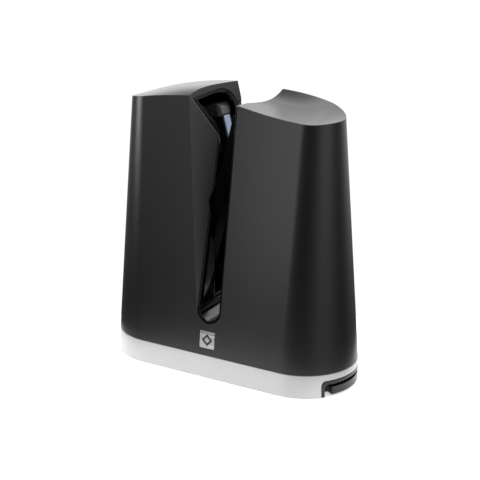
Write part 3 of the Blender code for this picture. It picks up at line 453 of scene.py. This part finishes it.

# The left insert's rim lies on the facet round the arch as a narrow black face, 0.4 mm proud, with a fine light
# grey
# bead on its outside, a painted highlight: straight down from the head, one bend at the lip, straight to the
# foot.
RIM_HEAD = (-19.4 * MM, 202.8 * MM)       # depth and height, as every corner of the rim
RIM_BEND = (0.2 * MM, 170.5 * MM)
RIM_FOOT = (-10.3 * MM, 135.6 * MM)
RIM_BACK = 10.0 * MM                      # well inside the window, which trims the rim's inner side
rim_corners = [RIM_HEAD, RIM_BEND, RIM_FOOT, (RIM_BACK, RIM_FOOT[1]), (RIM_BACK, 200.0 * MM),
               (-17.0 * MM, 201.0 * MM)]
rim_radii = [0.2 * MM, 8.0 * MM, 0.2 * MM, 0.2 * MM, 0.2 * MM, 0.2 * MM]
rim_line = rounded_outline(rim_corners, rim_radii)
facet_x = lambda y, z: FACET_START[-1] + FACET_TURN * y - FACET_LEAN[-1] * z
rim_face = extruded_outline("left_slot_rim", [(facet_x(y, z), y, z) for y, z in rim_line],
                            (-0.4 * MM, 0.17 * MM, -0.06 * MM))
combine(rim_face, window(-1))
# black whose specular level is set far below that of real ABS, so that the rim reads as plain black
rim_black = eroded_abs("abs_black_deep_texture", "030303", "060606", 0.4, 0.5, 0.9, 0.02)
rim_shader = next(node for node in rim_black.node_tree.nodes if node.type == "BSDF_PRINCIPLED")
rim_shader.inputs["Specular IOR Level"].default_value = 0.06
finish_piece(rim_face, "housing", rim_black, "gloss_black_plastic")
bead = bpy.data.curves.new("left_slot_rim_edge", "CURVE")
bead.dimensions = "3D"
bead.bevel_depth = 0.35 * MM
bead.bevel_resolution = 4
bead.use_fill_caps = True
spline = bead.splines.new("POLY")
edge_line = rim_line[:18]                 # nine points for each of the first two corners
spline.points.add(len(edge_line) - 1)
for point, (y, z) in zip(spline.points, edge_line):
    point.co = (facet_x(y, z) - 0.3 * MM, y, z, 1.0)
rim_edge = bpy.data.objects.new("left_slot_rim_edge", bead)
bpy.context.scene.collection.objects.link(rim_edge)
bpy.ops.object.select_all(action="DESELECT")
bpy.context.view_layer.objects.active = rim_edge
rim_edge.select_set(True)
bpy.ops.object.convert(target="MESH")
# painted highlight: a light grey in place of the black of the real polished edge, for the light that edge
# catches
lip_painted_highlight = eroded_abs("abs_grey_painted_highlight", "6e6e70", "7a7a7c", 0.20, 0.26, 0.9, 0.005)
finish_piece(bpy.context.object, "housing", lip_painted_highlight, "gloss_black_plastic", angle=60.0)

# ---- Front plate -------------------------------------------------------------------------------
# A thin square of brushed stainless steel glued flush into the front face, left plain.


# Brushed stainless steel: fine level lines from the belt that stretch the highlight across them.
def brushed_steel(name, light, dark, stretch):
    material = new_material(name)
    place = add_node(material, "TexCoord")
    turn = add_node(material, "Mapping", [("Vector", place, "Object")], Scale=stretch)
    line = add_node(material, "TexNoise", [("Vector", turn, "Vector")], Scale=1000.0, Detail=3.0)
    tint = add_node(material, "ValToRGB", [("Fac", line, "Fac")])
    ramp_stops(tint, (0.3, linear(dark)), (0.7, linear(light)))
    gloss = add_node(material, "MapRange", [("Value", line, "Fac")],
                     From_Min=0.3, From_Max=0.7, To_Min=0.26, To_Max=0.42)
    bump = add_node(material, "Bump", [("Height", line, "Fac")], Strength=0.2, Distance=0.02 * MM)
    shader = add_node(material, "BsdfPrincipled", [("Base Color", tint, "Color"),
                                                   ("Roughness", gloss, "Result"),
                                                   ("Normal", bump, "Normal")], Metallic=1.0)
    add_node(material, "OutputMaterial", [("Surface", shader, "BSDF")])
    return material


plate_steel = brushed_steel("stainless_steel_brushed", "c9c9ca", "9d9d9f", (0.05, 1.0, 1.6))


# The same steel with a plain etched lozenge, filled with black: a ring |x| + |z| = 3.5 mm, 2.2 mm wide.
def etched_steel():
    material = brushed_steel("stainless_steel_etched", "c9c9ca", "9d9d9f", (0.05, 1.0, 1.6))
    place = next(node for node in material.node_tree.nodes if node.type == "TEX_COORD")
    shader = next(node for node in material.node_tree.nodes if node.type == "BSDF_PRINCIPLED")
    output = next(node for node in material.node_tree.nodes if node.type == "OUTPUT_MATERIAL")
    axes = add_node(material, "SeparateXYZ", [("Vector", place, "Object")])
    across = add_node(material, "Math", [(0, axes, "X")], operation="ADD")
    across.inputs[1].default_value = 1.4 * MM
    upward = add_node(material, "Math", [(0, axes, "Z")], operation="SUBTRACT")
    upward.inputs[1].default_value = 28.9 * MM
    wide = add_node(material, "Math", [(0, across, "Value")], operation="ABSOLUTE")
    tall = add_node(material, "Math", [(0, upward, "Value")], operation="ABSOLUTE")
    reach = add_node(material, "Math", [(0, wide, "Value"), (1, tall, "Value")], operation="ADD")
    inside = add_node(material, "Math", [(0, reach, "Value")], operation="COMPARE")
    inside.inputs[1].default_value = 3.5 * MM
    inside.inputs[2].default_value = 1.1 * MM
    enamel = add_node(material, "BsdfPrincipled", Base_Color=linear("1a1a1b"), Roughness=0.3)
    mixed = add_node(material, "MixShader", [("Fac", inside, "Value"), (1, shader, "BSDF"), (2, enamel, "BSDF")])
    material.node_tree.links.new(mixed.outputs["Shader"], output.inputs["Surface"])
    return material


smoothed_copy("emblem_plate", "front_plate", "housing", etched_steel(), "badge_metal", edge_mm=0.15)

# ---- Base band ---------------------------------------------------------------------------------
# The ring round the foot, moulded ABS sprayed with silver lacquer, cut away in an arch at the right
# end for the drawer. It stands 0.6 mm off the table on the feet.


# Silver lacquer: fine aluminium flake under a satin clear coat, so it is grey-white and soft.
def silver_lacquer():
    material = new_material("lacquer_silver_sprayed")
    place = add_node(material, "TexCoord")
    flake = add_node(material, "TexVoronoi", [("Vector", place, "Object")], Scale=2600.0)
    tint = add_node(material, "ValToRGB", [("Fac", flake, "Distance")])
    ramp_stops(tint, (0.0, linear("c6c6c7")), (1.0, linear("b4b4b5")))
    gloss = add_node(material, "MapRange", [("Value", flake, "Distance")],
                     From_Min=0.0, From_Max=1.0, To_Min=0.36, To_Max=0.46)
    edge = add_node(material, "Bevel", samples=4, Radius=0.4 * MM)
    shader = add_node(material, "BsdfPrincipled", [("Base Color", tint, "Color"),
                                                   ("Roughness", gloss, "Result"),
                                                   ("Normal", edge, "Normal")],
                      Metallic=0.55, Coat_Weight=0.3, Coat_Roughness=0.25)
    add_node(material, "OutputMaterial", [("Surface", shader, "BSDF")])
    return material


silver = silver_lacquer()
smoothed_copy("base_band", "base_ring", "housing", silver, "silver_band")

# ---- Doorway rim, drawer ------------------------------------------------------------------------
# The arch that trims the opening is satin black ABS; the drawer front is polished black ABS with a
# deep lower lip and a rib as finger grip; the tray behind it holds four spare ceramic bars.
drawer_black = eroded_abs("abs_black_fine_satin", "070708", "0a0a0b", 0.22, 0.28, 0.9, 0.01)
smoothed_copy("doorway_rim", "opening_trim", "housing", drawer_black, "grey_plastic", edge_mm=0.3)
grip = smoothed_copy("drawer_front", "drawer_grip", "drawer", drawer_black, "satin_black_plastic")
# its lower lip reaches down to just over the table
for vertex in grip.data.vertices:
    if vertex.co.z < 4.5 * MM:
        vertex.co.z = 1.4 * MM


# Sintered ceramic: matt, pale, with fine grit that shows as faint speckle.
def sintered_ceramic(name, light, dark, grit_mm):
    material = new_material(name)
    place = add_node(material, "TexCoord")
    grit = add_node(material, "TexNoise", [("Vector", place, "Object")], Scale=1000.0 / grit_mm, Detail=4.0)
    tint = add_node(material, "ValToRGB", [("Fac", grit, "Fac")])
    ramp_stops(tint, (0.35, linear(dark)), (0.65, linear(light)))
    bump = add_node(material, "Bump", [("Height", grit, "Fac")], Strength=0.4, Distance=0.04 * MM)
    shader = add_node(material, "BsdfPrincipled", [("Base Color", tint, "Color"), ("Normal", bump, "Normal")],
                      Roughness=0.75, IOR=1.7)
    add_node(material, "OutputMaterial", [("Surface", shader, "BSDF")])
    return material


blue_ceramic = sintered_ceramic("ceramic_sintered_blue_grey", "b6c4de", "a3b1cc", 0.4)
white_ceramic = sintered_ceramic("ceramic_sintered_white", "e9e6de", "d8d4ca", 0.3)
for number in (1, 2, 3, 4):
    smoothed_copy(f"spare_stone_{number}", f"spare_bar_{number}", "drawer",
                  white_ceramic if number % 2 else blue_ceramic,
                  "fine_stone" if number % 2 else "ceramic_stone")

# ---- Arms, stones and caps ------------------------------------------------------------------------
# Two moulded arms cross in the slot. Each holds a ceramic bar, open on the knife side, under a cap
# that is pinned to the arm's tongue. The rear arm's cap is dark grey; the front one's is black, painted shade
# for the dark it stands in.


# Glass-filled nylon: dead matt black with an uneven grain. Its specular level is set far below the real one.
def filled_nylon():
    material = new_material("nylon_glass_filled_black")
    place = add_node(material, "TexCoord")
    fibre = add_node(material, "TexNoise", [("Vector", place, "Object")], Scale=900.0, Detail=4.0)
    tint = add_node(material, "ValToRGB", [("Fac", fibre, "Fac")])
    ramp_stops(tint, (0.35, linear("020202")), (0.7, linear("050505")))
    bump = add_node(material, "Bump", [("Height", fibre, "Fac")], Strength=0.3, Distance=0.03 * MM)
    shader = add_node(material, "BsdfPrincipled", [("Base Color", tint, "Color"), ("Normal", bump, "Normal")],
                      Roughness=0.6, Specular_IOR_Level=0.03)
    add_node(material, "OutputMaterial", [("Surface", shader, "BSDF")])
    return material


black_nylon = filled_nylon()
satin_grey = eroded_abs("abs_dark_grey_satin", "2b2c2e", "303134", 0.28, 0.36, 0.9, 0.02)
# the right (front) cap's black is painted shade
for word, body, cap in (("left", "left_arm_body", satin_grey), ("right", "right_arm_body", gloss_black)):
    smoothed_copy(word + "_arm", word + "_stone_holder", body, black_nylon, "satin_black_plastic")
    smoothed_copy(word + "_stone", word + "_stone_bar", body, blue_ceramic, "ceramic_stone")
    smoothed_copy(word + "_stone_cap", word + "_cap", body, cap,
                  "grey_plastic" if word == "left" else "satin_black_plastic")

# ---- Inner parts: frame, pins, springs, screws, feet ------------------------------------------------
# Zinc-plated steel sheet, turned steel pins and wire springs; moulded spacers; rubber sleeves and
# feet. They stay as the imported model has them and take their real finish.
plated_steel = brushed_steel("steel_zinc_plated", "b9bcc0", "90949a", (1.0, 0.12, 1.0))


# Rubber: dark, matt, with a faint bloom from the mould.
def moulded_rubber():
    material = new_material("rubber_moulded")
    place = add_node(material, "TexCoord")
    bloom = add_node(material, "TexNoise", [("Vector", place, "Object")], Scale=300.0, Detail=3.0)
    tint = add_node(material, "ValToRGB", [("Fac", bloom, "Fac")])
    ramp_stops(tint, (0.35, linear("151515")), (0.7, linear("202021")))
    bump = add_node(material, "Bump", [("Height", bloom, "Fac")], Strength=0.3, Distance=0.05 * MM)
    shader = add_node(material, "BsdfPrincipled", [("Base Color", tint, "Color"), ("Normal", bump, "Normal")],
                      Roughness=0.85)
    add_node(material, "OutputMaterial", [("Surface", shader, "BSDF")])
    return material


rubber = moulded_rubber()
finish_of_slot = {"steel": plated_steel, "rubber": rubber, "satin_black_plastic": satin_black,
                  "gloss_black_plastic": gloss_black, "grey_plastic": satin_grey, "badge_metal": plate_steel,
                  "silver_band": silver, "ceramic_stone": blue_ceramic, "fine_stone": white_ceramic}
for part in frame["record"]["subparts"]:
    for place in frame["nodes"][part["node"]].material_slots:
        place.material = finish_of_slot[part["material_slot"]]

# ---- Studio -------------------------------------------------------------------------------------------
# A small pale floor that glows a little, soft boxes overhead, at the left and at the front, a surround
# that is white to the camera and darker to reflections, and the camera.
bpy.ops.object.select_all(action="DESELECT")
bpy.ops.mesh.primitive_cylinder_add(vertices=96, radius=0.135, depth=0.0004, location=(0.0, 0.0, -0.0002))
floor = start_piece("floor")
bpy.ops.object.mode_set(mode="OBJECT")
paper = new_material("paper_white_matt")
where = add_node(paper, "TexCoord")
fibre = add_node(paper, "TexNoise", [("Vector", where, "Object")], Scale=30.0)
shade = add_node(paper, "ValToRGB", [("Fac", fibre, "Fac")])
ramp_stops(shade, (0.3, (0.93, 0.93, 0.93, 1.0)), (0.7, (0.94, 0.94, 0.94, 1.0)))
sheet = add_node(paper, "BsdfPrincipled", [("Base Color", shade, "Color")], Roughness=0.9,
                 Emission_Color=(1.0, 1.0, 1.0, 1.0), Emission_Strength=0.5)
add_node(paper, "OutputMaterial", [("Surface", sheet, "BSDF")])
floor.data.materials.append(paper)


def soft_box(name, place, target, width, height, power):
    light = bpy.data.lights.new(name, "AREA")
    light.shape = "RECTANGLE"
    light.size = width
    light.size_y = height
    light.energy = power
    lamp = bpy.data.objects.new(name, light)
    lamp.location = place
    lamp.rotation_euler = (Vector(target) - Vector(place)).to_track_quat("-Z", "Y").to_euler()
    lamp.visible_camera = False
    bpy.context.scene.collection.objects.link(lamp)
    return lamp


soft_box("overhead", (0.0, 0.15, 1.2), (0.0, 0.0, 0.0), 1.3, 1.0, 8.0)
soft_box("left", (-0.69, -0.36, 0.40), (0.0, 0.0, 0.24), 0.24, 0.60, 4.2)
soft_box("front", (-0.20, -0.56, 0.24), (0.02, 0.0, 0.14), 0.08, 0.56, 0.65)

world = bpy.data.worlds.new("studio")
bpy.context.scene.world = world
world.use_nodes = True
for spare in list(world.node_tree.nodes):
    world.node_tree.nodes.remove(spare)


def grey(value):
    return (value, value, value, 1.0)


# the surround, read by compass: 0 is behind, 0.25 left, 0.5 the front, 0.75 right
way = add_node(world, "TexCoord")
parts = add_node(world, "SeparateXYZ", [("Vector", way, "Generated")])
forward = add_node(world, "Math", [(0, parts, "Y")], operation="MULTIPLY")
forward.inputs[1].default_value = -1.0
compass = add_node(world, "Math", [(0, parts, "X"), (1, forward, "Value")], operation="ARCTAN2")
turned = add_node(world, "MapRange", [("Value", compass, "Value")],
                  From_Min=-math.pi, From_Max=math.pi, To_Min=0.0, To_Max=1.0)
panels = add_node(world, "ValToRGB", [("Fac", turned, "Result")])
stops = []
for azimuth, value in ((-180, 1.6), (-140, 1.6), (-115, 0.7), (-85, 0.12), (-42, 0.02), (-15, 0.07), (22, 0.13),
                       (40, 0.4), (58, 1.3), (82, 1.2), (105, 0.3), (125, 0.3), (155, 1.3), (180, 1.6)):
    stops.append((0.5 + azimuth / 360.0, grey(value / 2.0)))
ramp_stops(panels, *stops)
level = add_node(world, "MapRange", [("Value", parts, "Z")],
                 From_Min=-0.35, From_Max=0.35, To_Min=0.0, To_Max=1.0)
rise = add_node(world, "ValToRGB", [("Fac", level, "Result")])
ramp_stops(rise, (0.10, grey(0.03)), (0.24, grey(0.45)), (0.50, grey(0.75)), (0.66, grey(1.0)))
scaled = add_node(world, "Mix", data_type="RGBA", blend_type="MULTIPLY")
scaled.inputs[0].default_value = 1.0
world.node_tree.links.new(panels.outputs["Color"], scaled.inputs[6])
world.node_tree.links.new(rise.outputs["Color"], scaled.inputs[7])
surround = add_node(world, "Background", [("Color", scaled, 2)], Strength=2.8)
path = add_node(world, "LightPath")
backdrop = add_node(world, "Background", Color=(1.0, 1.0, 1.0, 1.0), Strength=1.05)
mixed = add_node(world, "MixShader", [("Fac", path, "Is Camera Ray"), (1, surround, "Background"),
                                      (2, backdrop, "Background")])
add_node(world, "OutputWorld", [("Surface", mixed, "Shader")])
bpy.context.scene.view_settings.view_transform = "Standard"

lens = bpy.data.cameras.new("camera")
lens.lens = 87.735
lens.sensor_width = 36.0
camera = bpy.data.objects.new("camera", lens)
camera.location = (0.42274, -0.70324, 0.35836)
aim = Vector((0.00294, 0.00175, 0.09530))
camera.rotation_euler = (aim - camera.location).to_track_quat("-Z", "Y").to_euler()
bpy.context.scene.collection.objects.link(camera)
bpy.context.scene.camera = camera
